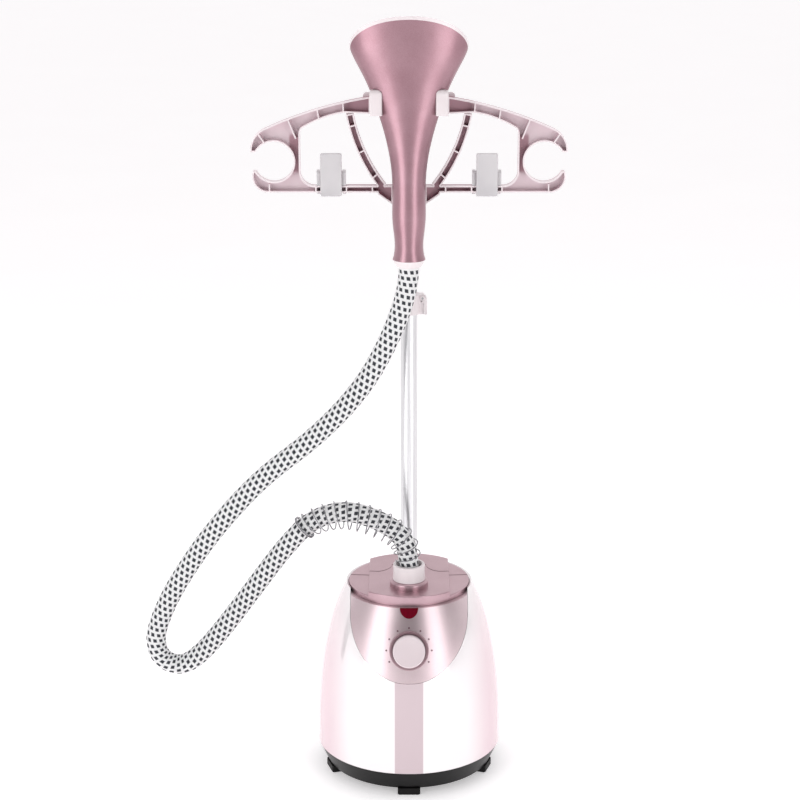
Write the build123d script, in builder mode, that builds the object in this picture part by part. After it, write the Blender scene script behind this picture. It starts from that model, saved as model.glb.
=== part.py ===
"""Upright garment steamer: a heated base with a lift-out tank, a telescopic pole with a
garment hanger, a flared steam head and a braided hose with a bend-guard spring.

Origin: centre of the footprint on the floor.  +Z up, the control panel faces -Y.  Millimetres.
"""
import os
from math import asin, atan2, cos, hypot, radians, sin, sqrt, tan

from build123d import *

os.makedirs("parts", exist_ok=True)

# ---------------------------------------------------------------- driving dimensions
seat_gap = 0.3              # air between two pieces that rest on each other but come apart
slip_gap = 0.5              # air round a piece that lifts out

# base ring and feet
foot_count = 5
foot_height = 10.0
foot_width = 31.0
foot_length = 26.0
ring_height = 27.0
base_wall = 3.0
ring_setback = 0.8          # base ring's top edge inside the body's rim
screw_r = 2.0
screw_head_r = 4.0
screw_head_height = 2.5
screw_sink = 18.0           # depth of a screw head's bearing face above the underside
boss_r = 5.5
post_height = 24.0
lip_height = 6.0            # base ring's upstand inside the body

# moulded body
rim_r = 127.5               # widest, where the body meets the base ring
foot_reach = rim_r - 10.5   # outer face of a foot, from the centre
ring_floor_r = rim_r - 12.5
screw_circle_r = rim_r - 19.5
knee_z = 60.0               # the wall is upright up to here
shoulder_r = rim_r - 17.8
shoulder_z = 209.0
mouth_r = rim_r - 41.0
mouth_z = 270.0
shell_wall = 3.2

# control panel inlay
panel_half_width = 79.5
panel_floor_z = 166.0
panel_corner_r = 77.0
panel_top_z = 263.4
panel_thickness = 1.7
panel_groove = 0.5
flange_inner_r = 79.0
lens_r = 12.3
lens_proud = 0.7

# control knob
knob_z = 210.0
knob_r = 21.8
knob_height = 11.0
knob_wall = 2.2
bezel_inner_r = knob_r + 1.2
bezel_r = bezel_inner_r + 3.6
bezel_depth = 8.0
bezel_proud = 1.4
shaft_r = 3.0
shaft_fit = 0.05
switch_size = 30.0
switch_depth = 22.0
mark_count = 9
mark_circle_r = bezel_r + 4.0
mark_r = 1.25
mark_proud = 0.25

# cap
cap_r = mouth_r - 3.5
cap_top_z = 277.0
cap_shoulder_z = 271.0
plateau_half_width = 55.0
cap_wall = 2.5
cap_edge = 1.2
seam_gap = 1.8

# hose coupling
coupling_y = -38.0
coupling_ring_r = 26.0
coupling_ring_height = 9.0
coupling_r = 22.0
coupling_height = 22.0
coupling_bore_r = 17.6
coupling_floor = 3.0
pipe_r = 8.0
pipe_wall = 1.5

# pole
pole_y = 18.0
lower_tube_r = 11.0
lower_tube_wall = 1.2
upper_tube_r = 9.5
upper_tube_wall = 1.2
upper_tube_bottom_z = 296.0
upper_tube_top_z = 838.0
upper_tube_show = 182.0     # how much of the upper tube stands out of the lower one
tube_fit = 0.05
lower_tube_top_z = upper_tube_top_z - upper_tube_show
socket_r = 16.0
socket_height = 48.0
bush_length = 16.0

# pole clamp
clamp_z = lower_tube_top_z - 11.0
clamp_height = 27.0
clamp_r = 16.0
clamp_step_z = clamp_z + 18.0
lever_reach = 24.0          # outer face of the lever, from the pole's axis
lever_thickness = 3.6
lever_width = 15.0
clamp_pin_r = 1.6

# heater, valve and tank
heater_length = 86.0
heater_width = 60.0
heater_height = 36.0
heater_y = -52.0
element_r = 4.0
element_bend_r = 14.0
tank_r = 78.0
tank_rim_r = tank_r + 4.0
tank_wall = 2.0
tank_rim = 1.8
tank_setback = 4.0          # tank's front wall behind the cap's seam
seat_top_z = 68.0
seat_wall = 2.5
valve_y = 62.0
neck_r = 13.0
neck_depth = 12.0
valve_cap_wall = 2.0
plunger_r = 3.0
plunger_head_r = 8.0
well_r = 18.0
well_floor_z = 46.0
window_width = 14.0
window_low_z = 90.0
window_high_z = 215.0

# cord inlet
gland_x = 26.0
gland_z = 24.0
gland_bore_r = 4.0
gland_r = 7.5
gland_length = 17.0

# hanger
wing_front_y = 5.0
wing_depth = 14.0
wing_web = 2.5
rib_wall = 1.8
bar_low_z = upper_tube_top_z - 27.5
bar_high_z = upper_tube_top_z - 18.3
wing_tip_x = 207.0
hook_x = 176.9
hook_z = upper_tube_top_z + 13.5
hook_r = 26.6
hook_mouth = 25.6
hook_wall = 8.0
strut_width = 9.8
hub_r = 14.0
hub_screw_r = 1.7
hub_low_z = upper_tube_top_z - 50.0
hub_high_z = upper_tube_top_z + 8.0
stem_half_width = 16.0
hub_half_width = stem_half_width + 5.0
cradle_half_width = 60.0
cradle_low_z = upper_tube_top_z + 78.0
cradle_high_z = upper_tube_top_z + 102.5
cradle_plate = 5.0
tab_low_z = upper_tube_top_z + 24.0
pad_low_z = upper_tube_top_z + 80.5
pad_high_z = upper_tube_top_z + 113.5
pad_reach_y = -43.0
pad_width = 16.3
pad_wall = 4.3
arm_root_x = 50.5

# garment clips
clip_x = 102.0
clip_width = 28.2
clip_low_z = upper_tube_top_z - 31.6
clip_high_z = upper_tube_top_z + 25.2
clip_plate = 4.0
clip_ear = 4.5
clip_ear_high_z = upper_tube_top_z + 1.0
clip_pin_z = upper_tube_top_z - 7.5
clip_pin_r = 1.8
clip_gap = 0.4

# steam head
head_y = -23.0
head_low_z = upper_tube_top_z - 110.0
head_low_r = 21.6           # the trumpet's lower end
head_wall = 2.5
face_z = head_low_z + 269.0
face_lean = 50.0            # degrees between the face and the floor
rim_height = 2.6
cuff_height = 9.4
cuff_low_r = 16.8
cuff_bore_r = 14.3
plate_depth = 3.0
plate_thickness = 2.5

# hose
hose_r = 13.5
hose_end_z = head_low_z + 80.0
spring_r = 19.4
climb_low_z = 340.0         # above this the hose's route follows the pole's height
climb_rise = 388.0
spring_gap = 1.0

# ---------------------------------------------------------------- sizes worked out
rim_z = foot_height + ring_height
base_floor_z = foot_height + base_wall
lip_r = rim_r - shell_wall - 0.4
knee_drop = rim_r - shoulder_r
knee_rise = shoulder_z - knee_z
knee_radius = (knee_rise ** 2 + knee_drop ** 2) / (2 * knee_drop)
shoulder_lean = asin(knee_rise / knee_radius)
mouth_chord = atan2(shoulder_r - mouth_r, mouth_z - shoulder_z)
mouth_lean = 2 * mouth_chord - shoulder_lean
lens_z = panel_top_z
cap_skirt_z = panel_top_z + seat_gap
coupling_z = cap_top_z + coupling_ring_height
coupling_top_z = coupling_z + coupling_height
hose_start_z = coupling_z + coupling_floor + seat_gap
heater_top_z = base_floor_z + heater_height
tank_floor_z = seat_top_z + seat_gap
bar_mid_z = (bar_low_z + bar_high_z) / 2
wing_back_y = wing_front_y + wing_depth
clip_half = clip_width / 2


def wall_radius(z):
    """Outside radius of the moulded body at height z: upright, then two arcs."""
    if z <= knee_z:
        return rim_r
    if z <= shoulder_z:
        return rim_r - knee_radius + sqrt(knee_radius ** 2 - (z - knee_z) ** 2)
    chord = hypot(shoulder_r - mouth_r, mouth_z - shoulder_z)
    mouth_radius = chord / (2 * sin(mouth_chord - shoulder_lean))
    centre_r = shoulder_r - mouth_radius * cos(shoulder_lean)
    centre_z = shoulder_z - mouth_radius * sin(shoulder_lean)
    return centre_r + sqrt(mouth_radius ** 2 - (z - centre_z) ** 2)


knob_lean = atan2(wall_radius(knob_z - bezel_r) - wall_radius(knob_z + bezel_r), 2 * bezel_r)


def wall_line(inset):
    """Points of the body's wall line, moved in by inset: rim, knee, shoulder and mouth."""
    return [
        (rim_r - inset, rim_z),
        (rim_r - inset, knee_z),
        (shoulder_r - inset * cos(shoulder_lean), shoulder_z - inset * sin(shoulder_lean)),
        (mouth_r - inset * cos(mouth_lean), mouth_z - inset * sin(mouth_lean)),
    ]


def skin(outer_inset, inner_inset):
    """The layer of the body's wall between two insets, as a ring turned about Z."""
    outer = wall_line(outer_inset)
    inner = wall_line(inner_inset)
    with BuildPart(mode=Mode.PRIVATE) as layer:
        with BuildSketch(Plane.XZ):
            with BuildLine():
                for line in (outer, inner):
                    Line(line[0], line[1])
                    lower = TangentArc(line[1], line[2], tangent=(0, 1))
                    TangentArc(line[2], line[3], tangent=lower % 1)
                Line(outer[0], inner[0])
                Line(outer[3], inner[3])
            make_face()
        revolve(axis=Axis.Z)
    return layer.part


def panel_prism(grow, top_z):
    """U-shaped prism that runs forward from the axis, grown by grow, up to top_z."""
    low_z = panel_floor_z - grow
    with BuildPart(mode=Mode.PRIVATE) as prism:
        with BuildSketch(Plane.XZ) as outline:
            with Locations((0, (low_z + top_z) / 2)):
                Rectangle(2 * (panel_half_width + grow), top_z - low_z)
            fillet(outline.vertices().group_by(Axis.Y)[0], panel_corner_r + grow)
        extrude(amount=2 * rim_r)
    return prism.part


def lens_prism(grow):
    """Half-round prism under the cap's skirt, for the indicator lens."""
    with BuildPart(mode=Mode.PRIVATE) as prism:
        with BuildSketch(Plane.XZ):
            with Locations((0, lens_z)):
                Circle(lens_r + grow)
            with Locations((0, lens_z + lens_r)):
                Rectangle(4 * lens_r, 2 * lens_r, mode=Mode.SUBTRACT)
        extrude(amount=2 * rim_r)
    return prism.part


def window_prism(grow):
    """Upright slot prism that runs to the rear, for the water-level window."""
    length = window_high_z - window_low_z
    with BuildPart(mode=Mode.PRIVATE) as prism:
        with BuildSketch(Plane.XZ):
            with Locations((0, window_low_z + length / 2)):
                SlotOverall(length + 2 * grow, window_width + 2 * grow, rotation=90)
        extrude(amount=-2 * rim_r)
    return prism.part


def front_region(shift):
    """Plan of everything in front of the cap's seam, with the seam moved back by shift."""
    limit = 2 * rim_r
    with BuildSketch(mode=Mode.PRIVATE) as region:
        with BuildLine():
            for side in (1, -1):
                Polyline((side * limit, -limit), (side * limit, 28 + shift), (side * 54, 12 + shift),
                         (side * 42, 11 + shift))
                ThreePointArc((side * 42, 11 + shift), (side * 30, 19 + shift), (side * 24, 36 + shift))
            ThreePointArc((24, 36 + shift), (0, 44 + shift), (-24, 36 + shift))
            Line((limit, -limit), (-limit, -limit))
        make_face()
    return region.sketch


def rear_plan(radius, shift):
    """Plan of the part of a disc that lies behind the cap's seam."""
    with BuildSketch(mode=Mode.PRIVATE) as plan:
        Circle(radius)
        add(front_region(shift), mode=Mode.SUBTRACT)
    return plan.sketch


def knob_frame(depth):
    """Plane square to the knob's axis, depth outside the body's wall."""
    start = Vector(0, -wall_radius(knob_z), knob_z)
    out = Vector(0, -cos(knob_lean), sin(knob_lean))
    return Plane(origin=start + out * depth, x_dir=(1, 0, 0), z_dir=out)


def ring_on(plane, outer_r, inner_r, height):
    """A plain ring that stands on a plane."""
    with BuildPart(mode=Mode.PRIVATE) as ring:
        with BuildSketch(plane):
            Circle(outer_r)
            if inner_r:
                Circle(inner_r, mode=Mode.SUBTRACT)
        extrude(amount=height)
    return ring.part


def foot_angles(offset=0.0):
    """Compass of the feet: the first points to the front."""
    return [-90 + offset + 360 / foot_count * k for k in range(foot_count)]


# ---------------------------------------------------------------- base ring, feet, gland
with BuildPart() as base_plate:
    with BuildSketch(Plane.XZ):
        with BuildLine():
            outer = Polyline((0, foot_height), (ring_floor_r, foot_height),
                             (rim_r - ring_setback, rim_z - 1.5), (rim_r - ring_setback, rim_z))
            Polyline(outer @ 1, (lip_r, rim_z), (lip_r, rim_z + lip_height),
                     (lip_r - base_wall, rim_z + lip_height), (lip_r - base_wall, rim_z - 2),
                     (ring_floor_r - base_wall, base_floor_z), (0, base_floor_z), outer @ 0)
        make_face()
    revolve(axis=Axis.Z)
    for angle in foot_angles(180 / foot_count):
        spot = Vector(screw_circle_r, 0, 0).rotate(Axis.Z, angle)
        boss_plane = Plane.XY.offset(base_floor_z - 1).move(Location(spot))
        add(ring_on(boss_plane, boss_r, 0, rim_z - base_floor_z + 1))
        with Locations(Location(spot + Vector(0, 0, foot_height))):
            Cylinder(screw_head_r + 0.3, screw_sink, align=(Align.CENTER, Align.CENTER, Align.MIN),
                     mode=Mode.SUBTRACT)
            Cylinder(screw_r + 0.1, 60, mode=Mode.SUBTRACT)
    with Locations(Location((gland_x, ring_floor_r, gland_z), (-90, 0, 0))):
        Cylinder(gland_r + 0.1, 50, mode=Mode.SUBTRACT)
base_plate.part.label = "base_plate"
export_step(base_plate.part, "parts/base_plate.step")

with BuildPart() as feet:
    with BuildSketch():
        for angle in foot_angles():
            spot = Vector(foot_reach - foot_length / 2, 0, 0).rotate(Axis.Z, angle)
            with Locations(Location(spot, (0, 0, angle))):
                Rectangle(foot_length, foot_width)
    extrude(amount=foot_height)
    fillet(feet.edges().filter_by(Axis.Z), 3)
    chamfer(feet.faces().group_by(Axis.Z)[0].edges(), 1)
feet.part.label = "feet"
export_step(feet.part, "parts/feet.step")

with BuildPart() as cord_gland:
    with BuildSketch(Plane.XZ.offset(-(rim_r - 2))):
        with Locations((gland_x, gland_z)):
            Circle(gland_r)
            Circle(gland_bore_r, mode=Mode.SUBTRACT)
    extrude(amount=gland_length)
cord_gland.part.label = "cord_gland"
export_step(cord_gland.part, "parts/cord_gland.step")

# ---------------------------------------------------------------- moulded body
panel_recess = skin(-1, panel_thickness + 0.1) & panel_prism(panel_groove, panel_top_z + 0.1)
below_panel_top = ring_on(Plane.XY, 2 * rim_r, 0, panel_top_z - panel_thickness - 0.2)
mouth_cut = panel_prism(panel_groove, 2 * mouth_z) - below_panel_top
lip_room = ring_on(Plane.XY.offset(rim_z - 1), rim_r - shell_wall, lip_r - base_wall - 0.2, lip_height + 1.4)
with BuildPart() as body_shell:
    for angle in foot_angles(180 / foot_count):
        spot = Location(Vector(screw_circle_r, 0, rim_z).rotate(Axis.Z, angle), (0, 0, angle))
        with BuildSketch(Plane(spot)):
            Circle(boss_r)
            with Locations(((rim_r - screw_circle_r) / 2, 0)):
                Rectangle(rim_r - screw_circle_r, base_wall)
        extrude(amount=post_height)
        with Locations(spot):
            Cylinder(screw_r, 3 * post_height, mode=Mode.SUBTRACT)
    add(ring_on(Plane.XY.offset(rim_z), rim_r - shell_wall / 2, 0, post_height), mode=Mode.INTERSECT)
    add(lip_room, mode=Mode.SUBTRACT)
    add(skin(0, shell_wall))
    add(panel_recess, mode=Mode.SUBTRACT)
    add(mouth_cut, mode=Mode.SUBTRACT)
    add(ring_on(knob_frame(-bezel_depth - 20), bezel_r + 0.2, 0, 40), mode=Mode.SUBTRACT)
    add(window_prism(0.1), mode=Mode.SUBTRACT)
body_shell.part.label = "body_shell"
export_step(body_shell.part, "parts/body_shell.step")

with BuildPart() as control_panel:
    add(skin(0, panel_thickness) & panel_prism(0, panel_top_z))
    with BuildSketch(Plane.XY.offset(panel_top_z - panel_thickness)):
        Circle(wall_radius(panel_top_z) - 1)
        Circle(flange_inner_r, mode=Mode.SUBTRACT)
        with Locations((0, rim_r)):
            Rectangle(4 * rim_r, 2 * rim_r, mode=Mode.SUBTRACT)
        with Locations((0, -rim_r)):
            Rectangle(2 * panel_half_width, 2 * rim_r, mode=Mode.INTERSECT)
    extrude(amount=panel_thickness)
    add(ring_on(knob_frame(-bezel_depth - 20), bezel_r + 0.1, 0, 40), mode=Mode.SUBTRACT)
    add(lens_prism(0.1) & skin(-1, panel_thickness + 0.1), mode=Mode.SUBTRACT)
control_panel.part.label = "control_panel"
export_step(control_panel.part, "parts/control_panel.step")

with BuildPart() as indicator_lens:
    add(skin(-lens_proud, panel_thickness) & lens_prism(0))
indicator_lens.part.label = "indicator_lens"
export_step(indicator_lens.part, "parts/indicator_lens.step")

with BuildPart() as level_window:
    add(skin(0.6, shell_wall) & window_prism(0))
level_window.part.label = "level_window"
export_step(level_window.part, "parts/level_window.step")

# ---------------------------------------------------------------- knob and steam switch
knob_axis = Axis(knob_frame(0).origin, knob_frame(0).z_dir)
with BuildPart() as knob_bezel:
    with BuildSketch(knob_frame(-bezel_depth)):
        Circle(bezel_r)
        Circle(shaft_r + 1, mode=Mode.SUBTRACT)
    extrude(amount=bezel_depth + bezel_proud)
    with BuildSketch(knob_frame(-bezel_depth + base_wall)):
        Circle(bezel_inner_r)
    extrude(amount=bezel_depth + bezel_proud, mode=Mode.SUBTRACT)
    fillet(knob_bezel.edges().filter_by(GeomType.CIRCLE).sort_by(knob_axis)[-2:], 0.8)
knob_bezel.part.label = "knob_bezel"
export_step(knob_bezel.part, "parts/knob_bezel.step")

knob_low = -bezel_depth + base_wall + 1.2
knob_high = bezel_proud + knob_height
with BuildPart() as control_knob:
    with BuildSketch(knob_frame(knob_low)):
        Circle(knob_r)
    extrude(amount=knob_high - knob_low)
    fillet(control_knob.edges().filter_by(GeomType.CIRCLE).sort_by(knob_axis)[-1], 2.2)
    with BuildSketch(knob_frame(knob_low)):
        Circle(knob_r - knob_wall)
        Circle(shaft_r + 3, mode=Mode.SUBTRACT)
    extrude(amount=knob_high - knob_low - knob_wall, mode=Mode.SUBTRACT)
    with BuildSketch(knob_frame(knob_low)):
        Circle(shaft_r)
    extrude(amount=12, mode=Mode.SUBTRACT)
control_knob.part.label = "control_knob"
export_step(control_knob.part, "parts/control_knob.step")

with BuildPart() as knob_shaft:
    add(ring_on(knob_frame(-bezel_depth - switch_depth + 4), shaft_r, 0,
                bezel_depth + switch_depth - 4 + knob_low + 12))
knob_shaft.part.label = "knob_shaft"
export_step(knob_shaft.part, "parts/knob_shaft.step")

with BuildPart() as steam_switch:
    with BuildSketch(knob_frame(-bezel_depth - switch_depth)):
        RectangleRounded(switch_size, switch_size, 3)
    extrude(amount=switch_depth)
    with BuildSketch(knob_frame(-bezel_depth)):
        Circle(shaft_r + shaft_fit)
    extrude(amount=-(switch_depth - 3), mode=Mode.SUBTRACT)
    with BuildSketch(knob_frame(-bezel_depth - switch_depth)):
        with GridLocations(12, 12, 2, 2):
            Rectangle(5, 1)
    extrude(amount=-7)
steam_switch.part.label = "steam_switch"
export_step(steam_switch.part, "parts/steam_switch.step")

with BuildPart() as dial_marks:
    for k in range(mark_count):
        turn = radians(210 - 240 / (mark_count - 1) * k)
        with BuildSketch(knob_frame(-bezel_r)):
            with Locations((mark_circle_r * cos(turn), mark_circle_r * sin(turn))):
                Circle(mark_r)
        extrude(amount=2 * bezel_r)
    add(skin(-mark_proud, 0), mode=Mode.INTERSECT)
dial_marks.part.label = "dial_marks"
export_step(dial_marks.part, "parts/dial_marks.step")


# ---------------------------------------------------------------- cap and hose coupling
def cap_block(inset):
    """The cap's outside, moved in by inset: a low disc with a plateau across it."""
    with BuildPart(mode=Mode.PRIVATE) as block:
        with BuildSketch(Plane.XY.offset(cap_skirt_z)):
            Circle(cap_r - inset)
        extrude(amount=cap_shoulder_z - inset - cap_skirt_z)
        if not inset:
            fillet(block.edges().group_by(Axis.Z)[-1], cap_edge)
        with BuildSketch(Plane.XY.offset(cap_skirt_z)):
            Circle(cap_r + 0.4 - inset)
            Rectangle(2 * (plateau_half_width - inset), 2 * cap_r, mode=Mode.INTERSECT)
        extrude(amount=cap_top_z - inset - cap_skirt_z)
        if not inset:
            fillet(block.edges().group_by(Axis.Z)[-1], cap_edge)
    return block.part


def seam_side(plan):
    """Upright prism of one side of the cap's seam."""
    with BuildPart(mode=Mode.PRIVATE) as side:
        with BuildSketch():
            add(plan)
        extrude(amount=2 * cap_top_z)
    return side.part


cap_shell = cap_block(0) - cap_block(cap_wall)
front_half = cap_shell & seam_side(front_region(0))
rear_half = cap_shell & seam_side(rear_plan(2 * cap_r, seam_gap))
with BuildPart() as front_cap:
    add(front_half)
    with BuildSketch(Plane.XY.offset(cap_top_z - cap_wall - 4)):
        with Locations((0, pole_y)):
            Circle(lower_tube_r + 3)
    extrude(amount=5)
    with Locations((0, pole_y, cap_top_z)):
        Hole(lower_tube_r + 0.3)
    with Locations((0, coupling_y, cap_top_z)):
        Hole(pipe_r + 0.5)
front_cap.part.label = "front_cap"
export_step(front_cap.part, "parts/front_cap.step")

with BuildPart() as tank_cover:
    add(rear_half)
tank_cover.part.label = "tank_cover"
export_step(tank_cover.part, "parts/tank_cover.step")

with BuildPart() as coupling_ring:
    with BuildSketch(Plane.XY.offset(cap_top_z)):
        with Locations((0, coupling_y)):
            Circle(coupling_ring_r)
            Circle(pipe_r + 0.5, mode=Mode.SUBTRACT)
    extrude(amount=coupling_ring_height)
    fillet(coupling_ring.edges().group_by(Axis.Z)[-1].sort_by(SortBy.RADIUS)[-1], 3.5)
coupling_ring.part.label = "coupling_ring"
export_step(coupling_ring.part, "parts/coupling_ring.step")

with BuildPart() as hose_coupling:
    with BuildSketch(Plane.XY.offset(coupling_z + seat_gap)):
        with Locations((0, coupling_y)):
            Circle(coupling_r)
            Circle(pipe_r + 0.5, mode=Mode.SUBTRACT)
    extrude(amount=coupling_height - seat_gap, taper=1.5)
    with BuildSketch(Plane.XY.offset(coupling_z + coupling_floor)):
        with Locations((0, coupling_y)):
            Circle(coupling_bore_r)
    extrude(amount=coupling_height, mode=Mode.SUBTRACT)
    fillet(hose_coupling.edges().group_by(Axis.Z)[-1].sort_by(SortBy.RADIUS)[-1], 1)
hose_coupling.part.label = "hose_coupling"
export_step(hose_coupling.part, "parts/hose_coupling.step")

with BuildPart() as steam_pipe:
    with BuildSketch(Plane.XY.offset(heater_top_z)):
        with Locations((0, coupling_y)):
            Circle(pipe_r)
            Circle(pipe_r - pipe_wall, mode=Mode.SUBTRACT)
    extrude(amount=hose_start_z - seat_gap - heater_top_z)
steam_pipe.part.label = "steam_pipe"
export_step(steam_pipe.part, "parts/steam_pipe.step")

# ---------------------------------------------------------------- heater
element_z = base_floor_z + heater_height / 2
with BuildPart() as heater_element:
    with BuildLine() as element_path:
        half = heater_length / 2 - 12
        end_y = heater_y - heater_width / 2 - element_bend_r
        FilletPolyline((-half, end_y, element_z), (-half, heater_y + 18, element_z),
                       (half, heater_y + 18, element_z), (half, end_y, element_z), radius=element_bend_r)
    with BuildSketch(Plane(element_path.wires()[0] @ 0, z_dir=(0, 1, 0))):
        Circle(element_r)
    sweep()
heater_element.part.label = "heater_element"
export_step(heater_element.part, "parts/heater_element.step")

with BuildPart() as heater_block:
    with BuildSketch(Plane.XY.offset(base_floor_z)):
        with Locations((0, heater_y)):
            RectangleRounded(heater_length, heater_width, 14)
    extrude(amount=heater_height)
    chamfer(heater_block.edges().group_by(Axis.Z)[-1], 2)
    add(heater_element.part, mode=Mode.SUBTRACT)
heater_block.part.label = "heater_block"
export_step(heater_block.part, "parts/heater_block.step")

with BuildPart() as thermostat:
    with BuildSketch(Plane.XY.offset(heater_top_z)):
        with Locations((-25, heater_y - 10)):
            Circle(11)
    extrude(amount=5)
    with BuildSketch(Plane.XY.offset(heater_top_z + 5)):
        with Locations((-25, heater_y - 10)):
            Circle(8)
    extrude(amount=7)
    with BuildSketch(Plane.XY.offset(heater_top_z + 12)):
        with Locations((-29, heater_y - 10), (-21, heater_y - 10)):
            Rectangle(1, 5)
    extrude(amount=8)
thermostat.part.label = "thermostat"
export_step(thermostat.part, "parts/thermostat.step")

with BuildPart() as thermal_fuse:
    with BuildSketch(Plane.YZ.offset(12)):
        with Locations((heater_y - 14, heater_top_z + 3)):
            Circle(3)
    extrude(amount=22)
thermal_fuse.part.label = "thermal_fuse"
export_step(thermal_fuse.part, "parts/thermal_fuse.step")

# ---------------------------------------------------------------- tank seat and tank
inlet_z = well_floor_z + 12
inlet_x = 34.0
inlet_r = 4.0
with BuildPart() as tank_seat:
    with BuildSketch(Plane.XY.offset(base_floor_z)):
        add(rear_plan(tank_r, tank_setback))
    extrude(amount=seat_top_z - base_floor_z)
    with BuildSketch(Plane.XY.offset(base_floor_z)):
        add(rear_plan(tank_r - seat_wall, tank_setback + seat_wall))
    extrude(amount=seat_top_z - base_floor_z - seat_wall, mode=Mode.SUBTRACT)
    with BuildSketch(Plane.XY.offset(well_floor_z - seat_wall)):
        with Locations((0, valve_y)):
            Circle(well_r + 1)
            Rectangle(2 * tank_r, 2 * (tank_r - seat_wall / 2 - valve_y), mode=Mode.INTERSECT)
    extrude(amount=seat_top_z - well_floor_z + seat_wall)
    with Locations((0, valve_y, seat_top_z)):
        Hole(neck_r + valve_cap_wall + slip_gap, depth=seat_top_z - well_floor_z)
    with BuildSketch(Plane.XZ):
        with Locations((inlet_x, inlet_z)):
            Circle(inlet_r + slip_gap)
    extrude(amount=-valve_y / 2, mode=Mode.SUBTRACT)
tank_seat.part.label = "tank_seat"
export_step(tank_seat.part, "parts/tank_seat.step")

valve_cap_low_z = tank_floor_z - neck_depth
with BuildPart() as valve_pin:
    with BuildSketch(Plane.XY.offset(well_floor_z)):
        with Locations((0, valve_y)):
            Circle(2.2)
    extrude(amount=valve_cap_low_z - 3 - seat_gap - well_floor_z)
valve_pin.part.label = "valve_pin"
export_step(valve_pin.part, "parts/valve_pin.step")

with BuildPart() as inlet_tube:
    with BuildLine() as inlet_path:
        inlet_end_y = heater_y + heater_width / 4
        FilletPolyline((well_r + 1, valve_y, inlet_z), (inlet_x, valve_y, inlet_z),
                       (inlet_x, inlet_end_y, inlet_z), (inlet_x, inlet_end_y, heater_top_z),
                       radius=1.5 * inlet_r)
    with BuildSketch(Plane(inlet_path.wires()[0] @ 0, z_dir=(1, 0, 0))):
        Circle(inlet_r)
        Circle(inlet_r - 1.2, mode=Mode.SUBTRACT)
    sweep()
inlet_tube.part.label = "inlet_tube"
export_step(inlet_tube.part, "parts/inlet_tube.step")

tank_top_z = panel_top_z
with BuildPart() as water_tank:
    with BuildSketch(Plane.XY.offset(tank_floor_z)):
        add(rear_plan(tank_r, tank_setback))
    extrude(amount=tank_top_z - tank_floor_z)
    with BuildSketch(Plane.XY.offset(tank_top_z - tank_rim)):
        add(rear_plan(tank_rim_r, tank_setback))
    extrude(amount=tank_rim)
    with BuildSketch(Plane.XY.offset(tank_floor_z + tank_wall)):
        add(rear_plan(tank_r - tank_wall, tank_setback + tank_wall))
    extrude(amount=tank_top_z, mode=Mode.SUBTRACT)
    with BuildSketch(Plane.XY.offset(tank_floor_z - neck_depth + valve_cap_wall)):
        with Locations((0, valve_y)):
            Circle(neck_r)
    extrude(amount=neck_depth - valve_cap_wall)
    with Locations((0, valve_y, tank_floor_z + tank_wall)):
        Hole(neck_r - 2, depth=neck_depth + tank_wall)
    with Locations((0, valve_y, tank_floor_z + tank_wall)):
        Box(2 * neck_r, 4, tank_wall, align=(Align.CENTER, Align.CENTER, Align.MIN))
water_tank.part.label = "water_tank"
export_step(water_tank.part, "parts/water_tank.step")

with BuildPart() as tank_valve_cap:
    with BuildSketch(Plane.XY.offset(valve_cap_low_z)):
        with Locations((0, valve_y)):
            Circle(neck_r + valve_cap_wall)
    extrude(amount=neck_depth - 1)
    with Locations((0, valve_y, valve_cap_low_z + neck_depth - 1)):
        Hole(neck_r + shaft_fit, depth=neck_depth - 1 - valve_cap_wall)
        Hole(plunger_r + 0.6)
tank_valve_cap.part.label = "tank_valve_cap"
export_step(tank_valve_cap.part, "parts/tank_valve_cap.step")

plunger_seat_z = valve_cap_low_z + valve_cap_wall + seat_gap
with BuildPart() as valve_plunger:
    add(ring_on(Plane((0, valve_y, valve_cap_low_z - 3)), plunger_r, 0, 12))
    add(ring_on(Plane((0, valve_y, plunger_seat_z)), plunger_head_r, 0, 2))
valve_plunger.part.label = "valve_plunger"
export_step(valve_plunger.part, "parts/valve_plunger.step")

with BuildPart() as valve_spring:
    spring_low = plunger_seat_z + 2 + 0.8
    spring_high = tank_floor_z + tank_wall - 0.8
    with BuildLine() as coil:
        Helix(pitch=(spring_high - spring_low) / 4, height=spring_high - spring_low, radius=5.2,
              center=(0, valve_y, spring_low))
    with BuildSketch(Plane(coil.wires()[0] @ 0, z_dir=coil.wires()[0] % 0)):
        Circle(0.5)
    sweep(is_frenet=True)
valve_spring.part.label = "valve_spring"
export_step(valve_spring.part, "parts/valve_spring.step")

# ---------------------------------------------------------------- pole and clamp
with BuildPart() as pole_socket:
    add(ring_on(Plane((0, pole_y, base_floor_z)), socket_r + 12, 0, 4))
    add(ring_on(Plane((0, pole_y, base_floor_z)), socket_r, 0, socket_height))
    with Locations((0, pole_y, base_floor_z + socket_height)):
        Hole(lower_tube_r + tube_fit, depth=socket_height - 3)
pole_socket.part.label = "pole_socket"
export_step(pole_socket.part, "parts/pole_socket.step")

lower_tube_bottom_z = base_floor_z + 3
with BuildPart() as pole_lower:
    add(ring_on(Plane((0, pole_y, lower_tube_bottom_z)), lower_tube_r, lower_tube_r - lower_tube_wall,
                lower_tube_top_z - lower_tube_bottom_z))
pole_lower.part.label = "pole_lower"
export_step(pole_lower.part, "parts/pole_lower.step")

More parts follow.
